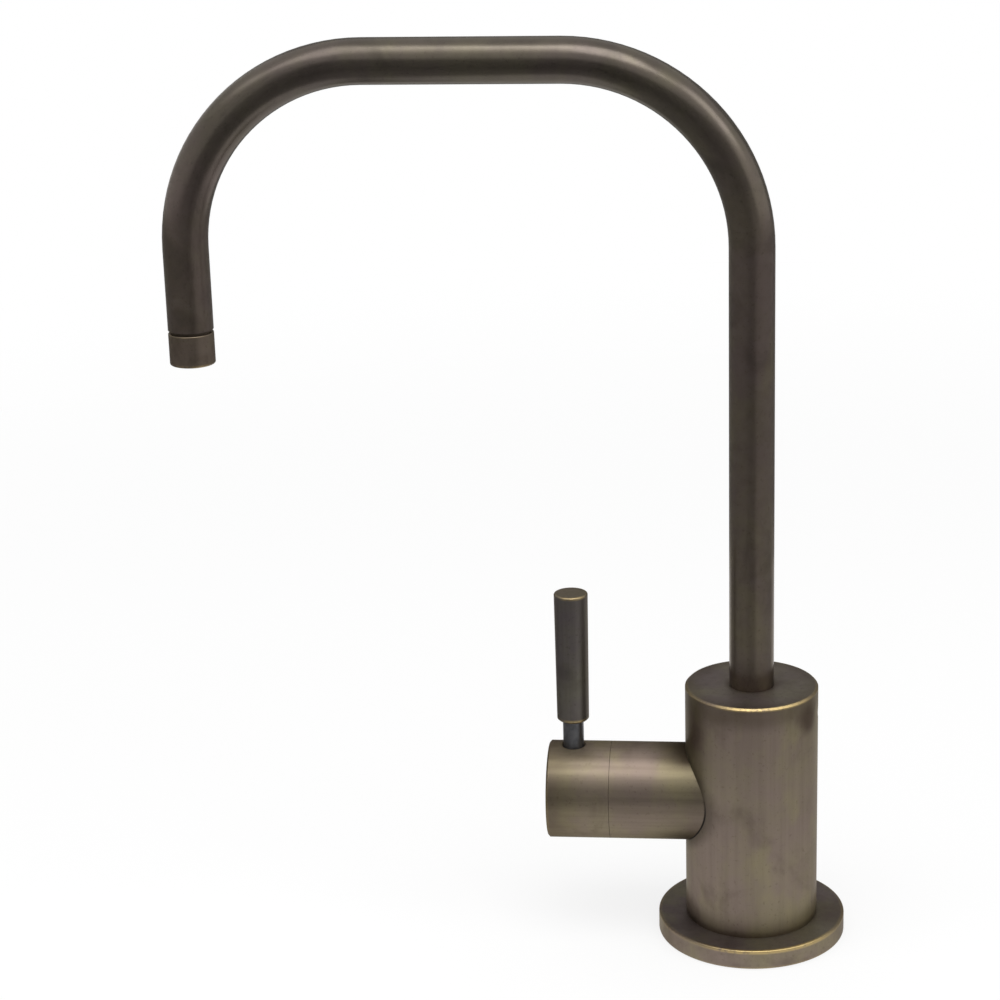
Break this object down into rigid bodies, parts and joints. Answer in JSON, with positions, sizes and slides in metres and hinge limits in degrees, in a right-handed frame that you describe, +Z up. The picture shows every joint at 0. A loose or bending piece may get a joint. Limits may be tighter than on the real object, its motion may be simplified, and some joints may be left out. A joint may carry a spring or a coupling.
{
  "type": "hot water dispenser tap",
  "caption": "Deck-mounted hot water dispenser tap: bent swivelling tube spout on a round body, with a side arm whose hub turns by a pin lever.",
  "frame": {"origin": "centre of the base flange's underside, where it meets the deck", "axes": "+Z up along the body; the spout and the side arm point along -X; the lever opens towards -Y"},
  "size_m": [0.1893, 0.054, 0.3433],
  "materials": {
    "antique_bronze": "brushed antique bronze, rubbed to brass at the edges",
    "dark_antique_bronze": "darker antique bronze, satin",
    "blackened_steel": "blackened, satin",
    "brass": "machined",
    "copper": "drawn tube",
    "stainless_steel": "satin",
    "rubber": "moulded",
    "ceramic": "lapped",
    "white_plastic": "moulded nylon",
    "black_plastic": "moulded"
  },
  "bodies": {
    "tap": {"base_flange": "antique_bronze", "flange_gasket": "rubber", "tap_body": "antique_bronze", "mounting_shank": "brass", "clamp_rubber_washer": "rubber", "clamp_steel_washer": "stainless_steel", "mounting_nut": "brass", "cold_feed_tail": "copper", "tank_feed_tail": "copper", "hot_return_tail": "copper", "spout_grub_screw": "stainless_steel", "valve_housing": "antique_bronze", "cartridge_body": "brass", "cartridge_seal": "rubber", "seat_seal": "rubber", "fixed_disc": "ceramic", "return_spring": "stainless_steel", "hub_bush": "white_plastic"},
    "spout": {"spout_tube": "dark_antique_bronze", "swivel_insert": "brass", "spout_ring_upper": "rubber", "spout_ring_lower": "rubber", "glide_ring": "white_plastic", "outlet_adapter": "brass", "outlet_shell": "dark_antique_bronze", "outlet_washer": "rubber", "stream_straightener": "black_plastic"},
    "lever": {"handle_hub": "antique_bronze", "hub_grub_screw": "stainless_steel", "lever_stud": "blackened_steel", "lever_barrel": "dark_antique_bronze", "spindle": "brass", "moving_disc": "ceramic", "spindle_ring_inner": "rubber", "spindle_ring_outer": "rubber", "stop_washer": "stainless_steel", "spindle_clip": "stainless_steel"}
  },
  "joints": [
    {"name": "spout_swivel", "type": "hinge", "parent": "tap", "child": "spout", "pos_m": [0, 0, 0.065], "axis": [0, 0, 1], "continuous": true},
    {"name": "lever_turn", "type": "hinge", "parent": "tap", "child": "lever", "pos_m": [-0.0513, 0, 0.0425], "axis": [1, 0, 0], "range_deg": [0, 90], "stiffness_Nm_per_rad": 0.14, "springref_deg": -34.38, "deforming": ["return_spring"]}
  ]
}
